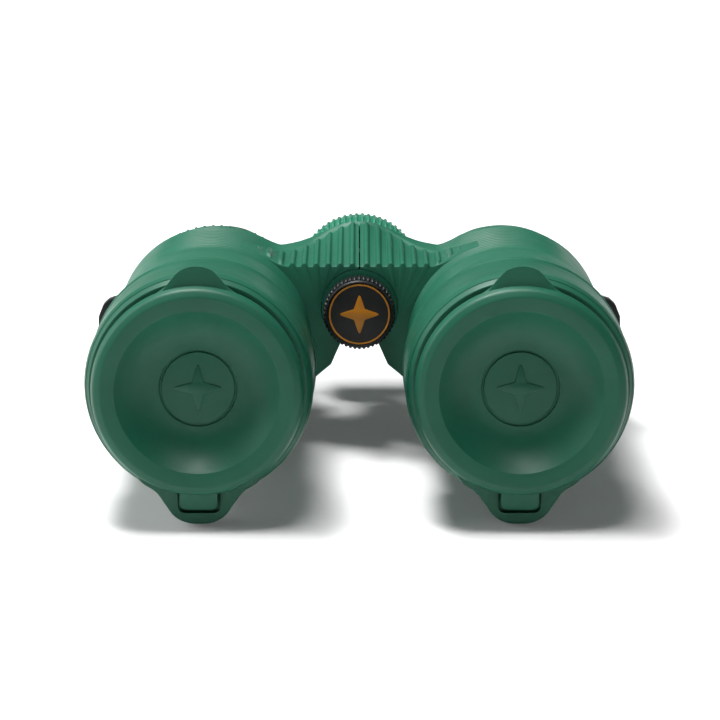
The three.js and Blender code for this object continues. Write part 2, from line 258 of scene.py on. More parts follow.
def meshOf(name, verts, faces, place=(0, 0), smoothAngle=40):
    # verts in drawing millimetres, x and z shifted by place; faces are turned outwards
    mesh = bpy.data.meshes.new(name)
    moved = [
        ((x + place[0]) * mm, (y + frontEdge) * mm, (z + place[1] + axisHeight) * mm)
        for x, y, z in verts
    ]
    mesh.from_pydata(moved, [], faces)
    work = bmesh.new()
    work.from_mesh(mesh)
    bmesh.ops.remove_doubles(work, verts=work.verts, dist=weldDistance)
    bmesh.ops.recalc_face_normals(work, faces=work.faces)
    work.to_mesh(mesh)
    work.free()
    mesh.shade_smooth()
    mesh.set_sharp_from_angle(angle=math.radians(smoothAngle))
    piece = bpy.data.objects.new(name, mesh)
    bpy.context.scene.collection.objects.link(piece)
    return piece


def spun(profile, count, vary=None):
    # turns (radius, y) points about the y axis; a first and last point on the axis close it,
    # otherwise the profile is a ring section. vary(angle, radius, y) may move a point.
    verts = []
    faces = []
    onAxis = profile[0][0] < 1e-6
    rows = profile[1:-1] if onAxis else profile
    for i in range(count):
        angle = 2 * math.pi * i / count
        for radius, y in rows:
            if vary:
                radius, y = vary(angle, radius, y)
            verts.append((radius * math.sin(angle), y, radius * math.cos(angle)))
    step = len(rows)
    for i in range(count):
        here, there = i * step, ((i + 1) % count) * step
        last = step - 1 if onAxis else step
        for k in range(last):
            nextK = (k + 1) % step
            faces.append((here + k, here + nextK, there + nextK, there + k))
    if onAxis:
        verts += [(0, profile[0][1], 0), (0, profile[-1][1], 0)]
        for i in range(count):
            here, there = i * step, ((i + 1) % count) * step
            faces.append((len(verts) - 2, here, there))
            faces.append((len(verts) - 1, there + step - 1, here + step - 1))
    return verts, faces


def shellFaces(rows, count):
    # side faces between rows of count points each, and one face over either end
    faces = []
    for k in range(rows - 1):
        for i in range(count):
            j = (i + 1) % count
            faces.append((k * count + i, k * count + j, (k + 1) * count + j, (k + 1) * count + i))
    faces.append(tuple(range(count)))
    faces.append(tuple(range((rows - 1) * count, rows * count))[::-1])
    return faces


def slab(outline, front, rear, bevel, lean=None):
    # an outline of (x, z) points drawn out along y with softened edges front and rear
    verts = []
    centre = sum((Vector(p) for p in outline), Vector((0, 0))) / len(outline)
    shoulder = bevel * 0.3
    loops = [(front, bevel), (front + shoulder, shoulder), (front + bevel, 0),
             (rear - bevel, 0), (rear - shoulder, shoulder), (rear, bevel)]
    count = len(outline)
    for y, inset in loops:
        for i in range(count):
            here = Vector(outline[i])
            along = Vector(outline[(i + 1) % count]) - Vector(outline[i - 1])
            normal = Vector((along.y, -along.x)).normalized()
            if normal.dot(here - centre) < 0:
                normal = -normal
            spot = here - normal * inset
            verts.append((spot.x, y + (lean(spot.y) if lean else 0), spot.y))
    return verts, shellFaces(len(loops), count)


def together(*shapes):
    verts = []
    faces = []
    for shapeVerts, shapeFaces in shapes:
        start = len(verts)
        verts += shapeVerts
        faces += [tuple(index + start for index in face) for face in shapeFaces]
    return verts, faces


def dress(piece, material, body, *nodes):
    piece.data.materials.clear()
    piece.data.materials.append(material)
    if nodes:
        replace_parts(piece, *nodes)
    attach(piece, body)


def plain(piece):
    # bakes the piece's modifiers into its own mesh
    depsgraph = bpy.context.evaluated_depsgraph_get()
    baked = bpy.data.meshes.new_from_object(piece.evaluated_get(depsgraph), depsgraph=depsgraph)
    piece.modifiers.clear()
    piece.data = baked


def smoothStep(low, high, value):
    t = min(1, max(0, (value - low) / (high - low)))
    return t * t * (3 - 2 * t)


def curveThrough(knots, value):
    # smooth curve through (place, height) knots, flat at both ends
    if value <= knots[0][0]:
        return knots[0][1]
    for (a, low), (b, high) in zip(knots, knots[1:]):
        if value <= b:
            i = knots.index((a, low))
            slopeA = 0 if i == 0 else (high - knots[i - 1][1]) / (b - knots[i - 1][0])
            last = i + 2 >= len(knots)
            slopeB = 0 if last else (knots[i + 2][1] - low) / (knots[i + 2][0] - a)
            t = (value - a) / (b - a)
            h00, h10 = 2 * t ** 3 - 3 * t * t + 1, t ** 3 - 2 * t * t + t
            h01, h11 = -2 * t ** 3 + 3 * t * t, t ** 3 - t * t
            return h00 * low + h10 * (b - a) * slopeA + h01 * high + h11 * (b - a) * slopeB
    return knots[-1][1]


def startTree(name, inputs, takesMesh):
    tree = bpy.data.node_groups.new(name, "GeometryNodeTree")
    if takesMesh:
        tree.interface.new_socket("Geometry", in_out="INPUT", socket_type="NodeSocketGeometry")
    tree.interface.new_socket("Geometry", in_out="OUTPUT", socket_type="NodeSocketGeometry")
    for label, kind in inputs.items():
        tree.interface.new_socket(label, in_out="INPUT", socket_type=kind)
    return tree


def useTree(piece, tree, values):
    # inputs are set by identifier before the piece is first evaluated
    modifier = piece.modifiers.new(tree.name, "NODES")
    modifier.node_group = tree
    for item in tree.interface.items_tree:
        if item.item_type == "SOCKET" and item.in_out == "INPUT" and item.name in values:
            modifier[item.identifier] = values[item.name]


def maths(tree, operation, *values):
    # one math node fed by sockets or numbers
    return grow(tree, "ShaderNodeMath", dict(enumerate(values)), operation=operation).outputs[0]


def toothTree():
    # teeth on a circle about y: a rounded bar at each point, its foot sunk in the ring
    tree = startTree("knurl of rounded teeth", {
        "Radius": "NodeSocketFloat", "Teeth": "NodeSocketInt", "Width": "NodeSocketFloat",
        "Length": "NodeSocketFloat", "Material": "NodeSocketMaterial",
    }, False)
    given = grow(tree, "NodeGroupInput").outputs
    sidesRound, ballRings = 10, 6
    circle = grow(tree, "GeometryNodeMeshCircle", {
        "Vertices": given["Teeth"], "Radius": given["Radius"],
    })
    bar = grow(tree, "GeometryNodeMeshCylinder", {
        "Vertices": sidesRound, "Side Segments": 1, "Radius": given["Width"], "Depth": given["Length"],
    })
    ball = grow(tree, "GeometryNodeMeshUVSphere", {
        "Segments": sidesRound, "Rings": ballRings, "Radius": given["Width"],
    })
    up = grow(tree, "ShaderNodeCombineXYZ", {"Z": maths(tree, "MULTIPLY", given["Length"], 0.5)})
    down = grow(tree, "ShaderNodeVectorMath", {0: up.outputs[0], "Scale": -1.0}, operation="SCALE")
    top, foot = (
        grow(tree, "GeometryNodeTransform", {
            "Geometry": ball.outputs["Mesh"], "Translation": shift.outputs[0],
        })
        for shift in (up, down)
    )
    tooth = grow(tree, "GeometryNodeJoinGeometry")
    for source in (foot.outputs["Geometry"], top.outputs["Geometry"], bar.outputs["Mesh"]):
        tree.links.new(source, tooth.inputs["Geometry"])
    placed = grow(tree, "GeometryNodeInstanceOnPoints", {
        "Points": circle.outputs["Mesh"], "Instance": tooth.outputs["Geometry"],
    })
    stood = grow(tree, "GeometryNodeTransform", {
        "Geometry": placed.outputs["Instances"], "Rotation": (math.pi / 2, 0, 0),
    })
    real = grow(tree, "GeometryNodeRealizeInstances", {"Geometry": stood.outputs["Geometry"]})
    painted = grow(tree, "GeometryNodeSetMaterial", {
        "Geometry": real.outputs["Geometry"], "Material": given["Material"],
    })
    grow(tree, "NodeGroupOutput", {"Geometry": painted.outputs["Geometry"]})
    return tree


def waveTree():
    # ribs that follow a surface: moves marked points along "lift" by a wave, round at its crest and
    # flat between two ribs. "spot" is a point's place along the row, "share" its part of the height.
    tree = startTree("ribs that follow the surface", {
        "Pitch": "NodeSocketFloat", "Rib Width": "NodeSocketFloat", "Height": "NodeSocketFloat",
        "Sink": "NodeSocketFloat", "Material": "NodeSocketMaterial",
    }, True)
    given = grow(tree, "NodeGroupInput").outputs
    spot = grow(tree, "GeometryNodeInputNamedAttribute", {"Name": "spot"}, data_type="FLOAT")
    share = grow(tree, "GeometryNodeInputNamedAttribute", {"Name": "share"}, data_type="FLOAT")
    lift = grow(tree, "GeometryNodeInputNamedAttribute", {"Name": "lift"}, data_type="FLOAT_VECTOR")
    half = maths(tree, "MULTIPLY", given["Pitch"], 0.5)
    minus = maths(tree, "MULTIPLY", half, -1.0)
    turn = maths(tree, "WRAP", spot.outputs["Attribute"], half, minus)
    ratio = maths(tree, "DIVIDE", turn, given["Rib Width"])
    square = maths(tree, "MULTIPLY", ratio, ratio)
    fourth = maths(tree, "MULTIPLY", square, square)
    bell = maths(tree, "EXPONENT", maths(tree, "MULTIPLY", fourth, -1.0))
    high = maths(tree, "MULTIPLY", bell, given["Height"])
    net = maths(tree, "SUBTRACT", high, given["Sink"])
    shared = maths(tree, "MULTIPLY", net, share.outputs["Attribute"])
    offset = grow(tree, "ShaderNodeVectorMath", {
        0: lift.outputs["Attribute"], "Scale": shared,
    }, operation="SCALE")
    moved = grow(tree, "GeometryNodeSetPosition", {
        "Geometry": given["Geometry"], "Offset": offset.outputs[0],
    })
    real = grow(tree, "GeometryNodeRealizeInstances", {"Geometry": moved.outputs["Geometry"]})
    painted = grow(tree, "GeometryNodeSetMaterial", {
        "Geometry": real.outputs["Geometry"], "Material": given["Material"],
    })
    grow(tree, "NodeGroupOutput", {"Geometry": painted.outputs["Geometry"]})
    return tree


knurlNodes = toothTree()
ribNodes = waveTree()


def markRibs(piece, mark):
    # mark(x, y, z) in drawing millimetres gives (spot, share, lift direction)
    mesh = piece.data
    spot = mesh.attributes.new("spot", "FLOAT", "POINT")
    share = mesh.attributes.new("share", "FLOAT", "POINT")
    lift = mesh.attributes.new("lift", "FLOAT_VECTOR", "POINT")
    for vertex in mesh.vertices:
        x, y, z = vertex.co / mm
        value = mark(x, y - frontEdge, z - axisHeight)
        spot.data[vertex.index].value = value[0] * mm
        share.data[vertex.index].value = value[1]
        lift.data[vertex.index].vector = value[2]


def ribbed(piece, settings, material):
    useTree(piece, ribNodes, {
        "Pitch": settings["pitch"] * mm, "Rib Width": settings["width"] * mm,
        "Height": settings["height"] * mm, "Sink": settings["sink"] * mm, "Material": material,
    })
    plain(piece)
    for name in ("spot", "share", "lift"):
        attribute = piece.data.attributes.get(name)
        if attribute:
            piece.data.attributes.remove(attribute)


def knurl(name, settings, place, material):
    # a ring of teeth about the line along y through place, as one plain mesh
    carrier = bpy.data.objects.new(name, bpy.data.meshes.new(name))
    bpy.context.scene.collection.objects.link(carrier)
    useTree(carrier, knurlNodes, {
        "Radius": settings["radius"] * mm, "Teeth": settings["teeth"],
        "Width": settings["width"] * mm, "Length": settings["length"] * mm, "Material": material,
    })
    plain(carrier)
    middle = (settings["front"] + settings["rear"]) / 2
    carrier.data.transform(Matrix.Translation((
        place[0] * mm, (middle + frontEdge) * mm, (place[1] + axisHeight) * mm,
    )))
    carrier.data.shade_smooth()
    return carrier


def absorb(piece, extra):
    # joins another object's mesh into the piece
    work = bmesh.new()
    work.from_mesh(piece.data)
    work.from_mesh(extra.data)
    work.to_mesh(piece.data)
    work.free()
    bpy.data.objects.remove(extra)


barrel = {
    "radius": 25.05, "turns": 240, "inside": 24.9,
    "front": [(23.7, -0.6), (24.45, -0.6, 0.3), (24.45, 22.4, 0), (25.05, 22.4, 0.3)],
    "rear": {
        "left": [(24.6, 82.8, 1.0), (23.9, 84.8, 1.0), (23.8, 91.8, 1.2), (22.4, 93.4, 0.6),
                 (21.3, 93.4), (21.3, 84.3), (23.7, 84.3)],
        "right": [(24.7, 82.6, 1.0), (24.1, 84.3, 0.4), (23.7, 84.3)],
    },
    "rows": {"from": 36.0, "to": 81, "step": 0.25},
    "ribs": {"pitch": 2.5, "width": 0.62, "height": 0.5, "sink": 0.5, "from": 40.0, "full": 54.0,
             "to": 80.0, "marked": (38.0, 80.8), "fadeFrom": -40},
}


def barrelSkin(name, side):
    profile = list(barrel["front"])
    rows = barrel["rows"]
    y = rows["from"]
    while y < rows["to"]:  # rows close enough for the ribs
        profile.append((barrel["radius"], y, 0))
        y += rows["step"]
    profile += barrel["rear"][name]
    verts, faces = spun(softened(profile, 0.25), barrel["turns"])
    piece = meshOf(f"barrelSkin_{name}", verts, faces, (side * halfSpan, 0))
    ribs = barrel["ribs"]

    def mark(x, y, z):
        dx = x - side * halfSpan
        radius = math.hypot(dx, z)
        low, high = ribs["marked"]
        if radius < barrel["inside"] or y < low or y > high:
            return 0.0, 0.0, (0.0, 0.0, 0.0)
        inward = math.degrees(math.atan2(-side * dx, abs(z)))  # 0 on top, 90 facing the hinge
        share = smoothStep(ribs["fadeFrom"], 0, inward)
        share *= smoothStep(ribs["from"], ribs["full"], y)
        return y - ribs["to"], share, (dx / radius, 0.0, z / radius)

    markRibs(piece, mark)
    ribbed(piece, ribs, greenArmour)
    dress(piece, greenArmour, f"{name}_half", f"armour_{name}")


bridge = {
    "front": 56.0, "rear": 84.4, "closedAngle": 26.8, "knuckleRoom": 9.6,
    "columns": {"first": 0.15, "step": 0.12, "width": 28.8, "outer": [29.2, 29.6]},
    "rowStep": 0.35, "edge": [(0, 0.42), (0.12, 0.14), (0.45, 0)], "fillet": 2.6, "highest": 26.0,
    "foot": {"radius": 24.55, "from": 122, "to": 205, "steps": 12},
    "under": [(15.2, -12.1), (13.4, -11.1), (11.3, -9.55), (9.2, -7.8), (7.25, -6.2), (7.05, -5.95)],
    "knuckleSteps": 16, "knuckleEnd": 89,
    # heights of the top across the bridge, at its rear and at its front
    "crestLine": [(0, 25.9), (3.2, 25.55), (7.2, 24.2), (12, 22.0), (15.7, 20.7), (19, 20.05),
                  (22, 19.9), (27, 20.2), (31, 20.6)],
    "frontLine": [(0, 18.8), (16, 18.8), (19, 18.9), (23, 19.05), (27.1, 19.35), (28.2, 19.7),
                  (31, 20.4)],
    # where the flutes stop, and how far the top steps up behind them
    "lip": [(0, 0.35), (5, 0.7), (14, 0.75), (22, 0.4), (31, 0.1)],
    "fluteEnd": [(0, 83.2), (5.4, 82.3), (8.6, 80.6), (11.6, 78.4), (14.6, 75.6), (18, 73.2),
                 (21, 70.4), (24.2, 67.2), (27.4, 64.2), (31, 62)],
    "flutes": {"pitch": 2.97, "width": 0.66, "height": 0.85, "sink": 0.05, "first": 1.82,
               "straightTo": 16.0, "backStep": 0.85, "outerFade": (24.6, 25.6)},
    "lipRun": 2.4, "ribFade": (18, 23), "ribStart": (1.0, 3.0), "topRoom": 0.5, "softEnd": 0.2,
}


def bridgeSkin(name, side):
    size = bridge
    columns = size["columns"]
    xs = [columns["first"] + columns["step"] * i
          for i in range(int(columns["width"] / columns["step"]))] + columns["outer"]
    edge = size["edge"]
    ys = [size["front"] + inset for inset, drop in edge]
    y = size["front"] + 1.2
    while y < size["rear"] - 0.5:
        ys.append(y)
        y += size["rowStep"]
    ys += [size["rear"] - inset for inset, drop in edge[::-1]]
    drops = [drop for inset, drop in edge]
    edgeDrop = dict(zip(ys[:len(edge)] + ys[-len(edge):], drops + drops[::-1]))

    def topAt(x, y):
        low = curveThrough(size["frontLine"], x)
        high = curveThrough(size["crestLine"], x)
        lip = curveThrough(size["lip"], x)
        end = curveThrough(size["fluteEnd"], x)
        t = min(1.0, (y - size["front"]) / (size["rear"] - 0.4 - size["front"]))
        lipEnd = min(end + size["lipRun"], size["rear"] - 0.3)
        hill = low + (high - lip - low) * t + lip * smoothStep(end, lipEnd, y)
        across = barrel["radius"] ** 2 - (x - halfSpan) ** 2
        skin = math.sqrt(across) if across > 0 else -30
        blend = size["fillet"]  # between the bridge and the barrel
        gapNow = hill - skin
        over = max(hill, skin)
        if abs(gapNow) < blend:
            over += (blend - abs(gapNow)) ** 2 / (4 * blend)
        justUnder = 0.06 if gapNow < -blend else 0  # beyond the fillet the barrel's own skin shows
        return min(over, size["highest"]) - justUnder

    # underside, from the outer end back to the hinge
    outerX = xs[-1]
    arc = size["foot"]
    foot = []
    for k in range(arc["steps"] + 1):  # inside the barrel skin
        angle = math.radians(arc["from"] + (arc["to"] - arc["from"]) * k / arc["steps"])
        foot.append((halfSpan + arc["radius"] * math.cos(angle), arc["radius"] * math.sin(angle)))
    room = size["knuckleRoom"]
    closed = math.radians(size["closedAngle"])
    endX, endZ = size["under"][-1]
    startX = room * math.sin(closed) + 0.15
    startZ = hingeHeight - room * math.cos(closed)
    flat = [(endX + (startX - endX) * k / 4, endZ + (startZ - endZ) * k / 4) for k in range(1, 5)]
    knuckle = []
    first, last = math.radians(-90 + size["closedAngle"]), math.radians(size["knuckleEnd"])
    for k in range(1, size["knuckleSteps"] + 1):
        angle = first + (last - first) * k / size["knuckleSteps"]
        knuckle.append((room * math.cos(angle), hingeHeight + room * math.sin(angle)))
    under = size["under"] + flat + knuckle
    verts = []
    for y in ys:
        drop = edgeDrop.get(y, 0)
        for x in xs:
            verts.append((side * x, y, topAt(x, y) - drop))
        for x, z in foot + under:
            verts.append((side * x, y, z))
    faces = shellFaces(len(ys), len(xs) + len(foot) + len(under))
    piece = meshOf(f"bridgeSkin_{name}", verts, faces, smoothAngle=35)
    flutes = size["flutes"]
    upward = (0.0, 0.0, 1.0)

    def onTop(x, y, z):
        return 0.2 < x <= outerX and abs(z - topAt(x, y)) < size["topRoom"]

    def flute(x, y, z):
        if not onTop(abs(x), y, z):
            return 0.0, 0.0, upward
        end = curveThrough(size["fluteEnd"], abs(x))
        beyond = max(0, abs(x) - flutes["straightTo"])  # the outer flutes begin further back
        start = size["front"] - 2 + beyond * flutes["backStep"]
        soft = size["softEnd"]
        share = smoothStep(start - soft, start + soft, y) * (1 - smoothStep(end - soft, end + soft, y))
        share *= 1 - smoothStep(*flutes["outerFade"], abs(x))
        return abs(x) - flutes["first"], share, upward

    def rib(x, y, z):
        if not onTop(abs(x), y, z):
            return 0.0, 0.0, upward
        end = curveThrough(size["fluteEnd"], abs(x))
        near, far = size["ribStart"]
        share = smoothStep(*size["ribFade"], abs(x)) * smoothStep(end + near, end + far, y)
        return y - barrel["ribs"]["to"], share, upward

    markRibs(piece, rib)
    ribbed(piece, barrel["ribs"], greenArmour)
    markRibs(piece, flute)
    ribbed(piece, flutes, greenArmour)
    dress(piece, greenArmour, f"{name}_half", f"bridge_armour_{name}")


ring = {
    "section": [(24.75, 22, 0.2), (26.75, 22, 0.3), (26.75, 21.0, 0.4), (26.45, 20.0, 0.6),
                (26.45, 1.6, 1.6), (25.95, -0.6, 1.2), (25.0, ringFront, 0.4), (23.6, ringFront, 0.3),
                (23.6, -0.9, 0.2), (24.75, -0.9, 0.2)],
    "turns": 240, "inside": 24.9, "recess": 0.3, "recessFrom": 34, "recessTo": 52,
    "loop": [(0, 32.0), (6, 31.78), (11.3, 30.6), (16.4, 28.35), (22.4, 26.72), (30.7, 26.2),
             (40, 25.0)],
    "loopEnd": 7.0, "loopFull": 2.6, "faceInset": 0.5, "faceEdge": -1.4, "softEdge": 1.0,
    "pulled": (26.5, 28.5), "rowStep": 0.6, "crease": 40,
    "pocket": {"half": 4.95, "top": -22.6, "bottom": -29.4, "corner": 1.9, "mouth": -6.0,
               "floor": -0.6},
}


def hangingOutline(size):
    # an upright rectangle with its two lower corners rounded
    return softened([
        (-size["half"], size["top"], 0), (size["half"], size["top"], 0),
        (size["half"], size["bottom"]), (-size["half"], size["bottom"]),
    ], size["corner"], 8)


def tetherBand(name, side):
    # the loop is a swelling of the outer skin at the bottom, over the front few millimetres
    def vary(angle, radius, y):
        away = abs(math.degrees(angle) - 180)
        if y < -0.5:  # away from the loop the front face stands back from the cover
            y += ring["recess"] * smoothStep(ring["recessFrom"], ring["recessTo"], away)
        if radius < ring["inside"] or y > ring["loopEnd"] + 0.2:
            return radius, y
        reach = curveThrough(ring["loop"], away)
        if reach <= radius:
            return radius, y
        grown = smoothStep(ring["loopEnd"], ring["loopFull"], y) if y > ring["loopFull"] else 1.0
        full = radius + (reach - radius) * grown
        frontPull = 0.0
        if y < ring["softEdge"]:  # keeps the front face flat and its edge soft
            full -= ring["faceInset"] * (1 - smoothStep(ringFront, ring["faceEdge"], y))
            level = ringFront + ring["faceInset"] * smoothStep(ringFront, ring["softEdge"], y)
            frontPull = (level - y) * smoothStep(*ring["pulled"], reach)
        return full, y + min(0, frontPull)

    section = softened(ring["section"], 0.3, 5)
    dense = []
    for i, (radius, y) in enumerate(section):
        dense.append((radius, y))
        nextRadius, nextY = section[(i + 1) % len(section)]
        if min(radius, nextRadius) > 26 and abs(nextY - y) > 3:  # the long outer line
            pieces = int(abs(nextY - y) / ring["rowStep"])
            for k in range(1, pieces):
                t = k / pieces
                dense.append((radius + (nextRadius - radius) * t, y + (nextY - y) * t))
    verts, faces = spun(dense, ring["turns"], vary)
    piece = meshOf(f"tetherBand_{name}", verts, faces, (side * halfSpan, 0))
    hole = ring["pocket"]
    block = slab(hangingOutline(hole), hole["mouth"], hole["floor"], 0.05)
    cutter = meshOf("pocketCutter", *block, place=(side * halfSpan, 0))
    cut = piece.modifiers.new("pocket", "BOOLEAN")
    cut.operation = "DIFFERENCE"
    cut.solver = "EXACT"
    cut.object = cutter
    plain(piece)
    bpy.data.objects.remove(cutter)
    piece.data.set_sharp_from_angle(angle=math.radians(ring["crease"]))
    dress(piece, greenRing, f"{name}_half", f"tether_ring_{name}")


cover = {
    "disc": -1.5, "rim": 24.4, "turns": 240,
    "middle": [(0, -1.5, 0), (8.35, -1.5, 0.1), (8.5, -1.05, 0.1), (8.9, -1.05, 0.1),
               (9.05, -1.5, 0.1)],
    "bowl": {"from": 9.05, "to": 18.9, "deep": 5.8, "power": 2.2, "steps": 18},
    "lip": [(18.9, -7.3, 0.3), (22.2, -7.6, 1.2), (23.8, -6.8, 1.6), (24.4, -5.2, 0.9),
            (24.4, -5.05, 0.1), (24.4, -4.85, 0.1), (24.4, -4.5, 0.1), (24.3, -3.8, 0.5),
            (23.5, -2.85, 0.4), (20.0, -2.75, 0.2), (20.0, 1.2, 0.5), (18.6, 1.2, 0.5),
            (18.4, -3.2, 1.0), (9, -0.2, 2), (0, -0.2, 0)],
    "tab": [(0, 28.8), (3, 28.7), (7.6, 28.05), (11.4, 26.75), (15.4, 25.4), (19, 24.7), (23, 24.4)],
    "tabInside": 22.2, "tabRoot": (22.4, 24.1), "tabBack": 24.2, "tabFront": -5.2, "tabFull": -4.9,
    "tabSide": -4.5, "tabInset": 0.2,
    "tongue": {"half": 4.4, "top": -21.6, "bottom": -28.2, "corner": 1.7, "front": -4.0,
               "rear": -1.1, "lean": 0.32},
    "mark": {"points": 4, "reach": 6.4, "waist": 1.9, "raise": 0.22, "root": 0.8},
}


def starOutline(mark, corner=0.5):
    points = []
    for k in range(mark["points"] * 2):
        reach = mark["reach"] if k % 2 == 0 else mark["waist"]
        angle = math.pi * k / mark["points"]
        points.append((reach * math.sin(angle), reach * math.cos(angle)))
    return softened(points, corner, 3)


def coverFace(name, side):
    def vary(angle, radius, y):
        away = min(math.degrees(angle), 360 - math.degrees(angle))
        reach = curveThrough(cover["tab"], away)
        extra = reach - cover["rim"]
        front = cover["tabFront"]
        if extra <= 0 or radius < cover["tabInside"]:
            return radius, y
        if y < front + 0.05:  # the rim in front of the tab stays round
            return radius, y
        if radius < cover["tabBack"]:
            return radius + extra * smoothStep(*cover["tabRoot"], radius), y
        inset = cover["tabInset"] if y > cover["tabSide"] else 0
        return radius + extra * smoothStep(front, cover["tabFull"], y) - inset, y

    bowl = cover["bowl"]
    dish = []
    for k in range(1, bowl["steps"]):  # the bowl gets steeper towards its rim
        t = k / bowl["steps"]
        dish.append((bowl["from"] + (bowl["to"] - bowl["from"]) * t,
                     cover["disc"] - bowl["deep"] * t ** bowl["power"], 0))
    face = softened(cover["middle"] + dish + cover["lip"], 0.3, 5, closed=False)
    verts, faces = spun(face, cover["turns"], vary)
    tongue = cover["tongue"]
    strap = slab(
        hangingOutline(tongue), tongue["front"], tongue["rear"], 0.35,
        lean=lambda z: -tongue["lean"] * (z - tongue["bottom"]))
    mark = cover["mark"]
    star = slab(starOutline(mark), cover["disc"] - mark["raise"], cover["disc"] + mark["root"], 0.12)
    verts, faces = together((verts, faces), strap, star)
    piece = meshOf(f"coverFace_{name}", verts, faces, (side * halfSpan, 0))
    dress(piece, greenRing, f"objective_cover_{name}", f"objective_cover_{name}")


for name, side in sides.items():
    barrelSkin(name, side)
    bridgeSkin(name, side)
    tetherBand(name, side)
    coverFace(name, side)
print("barrels, bridge, rings and covers made")


knob = {
    "section": [(0, 47.0, 0), (7.75, 47.0, 0.1), (7.8, 46.15, 0.2), (8.15, 46.0, 0.2), (8.45, 46.6, 0.4),
                (8.5, 52.2, 0.4), (6.9, 52.2, 0.2), (6.9, 48.6, 0.2), (0, 48.6, 0)],
    "teeth": {"radius": 8.46, "teeth": 48, "width": 0.44, "length": 4.7, "front": 46.55, "rear": 52.1},
    "disc": [(0, 46.25, 0), (7.7, 46.25, 0.12), (7.7, 47.05, 0.1), (0, 47.05, 0)],
    "inkRing": [(7.1, 46.14), (7.5, 46.14), (7.5, 46.3), (7.1, 46.3)],
    "mark": {"points": 4, "reach": 5.4, "waist": 1.9, "front": 46.1, "rear": 46.32},
    "washer": [(9.45, 55.95, 0.05), (9.45, 56.18, 0.05), (6.5, 56.18, 0.05), (6.5, 55.95, 0.05)],
}
hinge = (0, hingeHeight)
socketKnob = meshOf("socketKnob", *spun(softened(knob["section"], 0.3, 4, closed=False), 132), place=hinge)
absorb(socketKnob, knurl("knobTeeth", knob["teeth"], hinge, blackAbs))
dress(socketKnob, blackAbs, "socket_cover", "socket_cover")
knobDisc = meshOf(
    "knobDisc", *spun(softened(knob["disc"], 0.1, 3, closed=False), 96), place=hinge)
dress(knobDisc, badgeGrain, "socket_cover", "socket_cover_badge")
knobPrint = meshOf("knobPrint", *together(
    spun(softened(knob["inkRing"], 0.05, 2), 128),
    slab(starOutline(knob["mark"], 0.45), knob["mark"]["front"], knob["mark"]["rear"], 0.06),
), place=hinge)
dress(knobPrint, orangeInk, "socket_cover")

# rubber washer that closes the bridge front round the axle
hingeWasher = meshOf("hingeWasher", *spun(softened(knob["washer"], 0.05, 2), 96), place=hinge)
dress(hingeWasher, greenArmour, "left_half")

wheel = {
    "grip": [(13.75, 94.0, 0.1), (14.9, 94.0, 0.5), (15.6, 94.9, 0.5), (15.6, 109.1, 0.5),
             (14.9, 110.0, 0.5), (13.75, 110.0, 0.1)],
    "teeth": {"radius": 15.58, "teeth": 62, "width": 0.5, "length": 13.0, "front": 95.0, "rear": 109.0},
    "core": [(0, 93, 0), (5.5, 93, 0.2), (5.5, 94.4, 0.2), (13.45, 94.4, 0.3), (13.45, 109.6, 0.4),
             (12.4, 109.9, 0.3), (11.6, 109.2, 0.5), (8.6, 108.9, 0.6), (7.6, 108.2, 0.5),
             (2.2, 108.2, 0.3), (1.9, 108.7, 0.2), (0, 108.7, 0)],
    "screw": [(0, 66.0, 0), (2.3, 66.0, 0.3), (2.3, 93.5, 0), (0, 93.5, 0)],
    "collar": [(9.2, 84.7, 0.4), (9.2, 92.6, 0.4), (4.35, 92.6, 0.1), (4.35, 84.7, 0.1)],
}
focusGrip = meshOf("focusGrip", *spun(softened(wheel["grip"], 0.3, 4), 148), place=hinge)
absorb(focusGrip, knurl("wheelTeeth", wheel["teeth"], hinge, greenGrip))
dress(focusGrip, greenGrip, "focus_wheel", "focus_wheel_grip")
focusCore = meshOf("focusCore", *together(
    spun(softened(wheel["core"], 0.3, 4, closed=False), 120),
    spun(softened(wheel["screw"], 0.2, 3, closed=False), 48),
), place=hinge)
dress(focusCore, blackAbs, "focus_wheel", "focus_wheel_core")
rearCollar = meshOf("rearCollar", *spun(softened(wheel["collar"], 0.3, 4), 96), place=hinge)
dress(rearCollar, blackAbs, "left_half", "hinge_rear_collar")

diopter = {
    "section": [(21.3, 85.0, 0.1), (23.3, 85.0, 0.4), (23.55, 85.5, 0.3), (23.55, 92.0, 0.4),
                (22.9, 92.6, 0.4), (21.3, 92.6, 0.1)],
    "teeth": {"radius": 23.45, "teeth": 66, "width": 0.45, "length": 5.6, "front": 85.5, "rear": 92.1},
}
rightAxis = (-halfSpan, 0)
diopterGrip = meshOf(
    "diopterGrip", *spun(softened(diopter["section"], 0.3, 4), 198), place=rightAxis)
absorb(diopterGrip, knurl("diopterTeeth", diopter["teeth"], rightAxis, greenArmour))
dress(diopterGrip, greenArmour, "diopter_ring", "diopter_ring")
print("knob, wheel and diopter ring made")

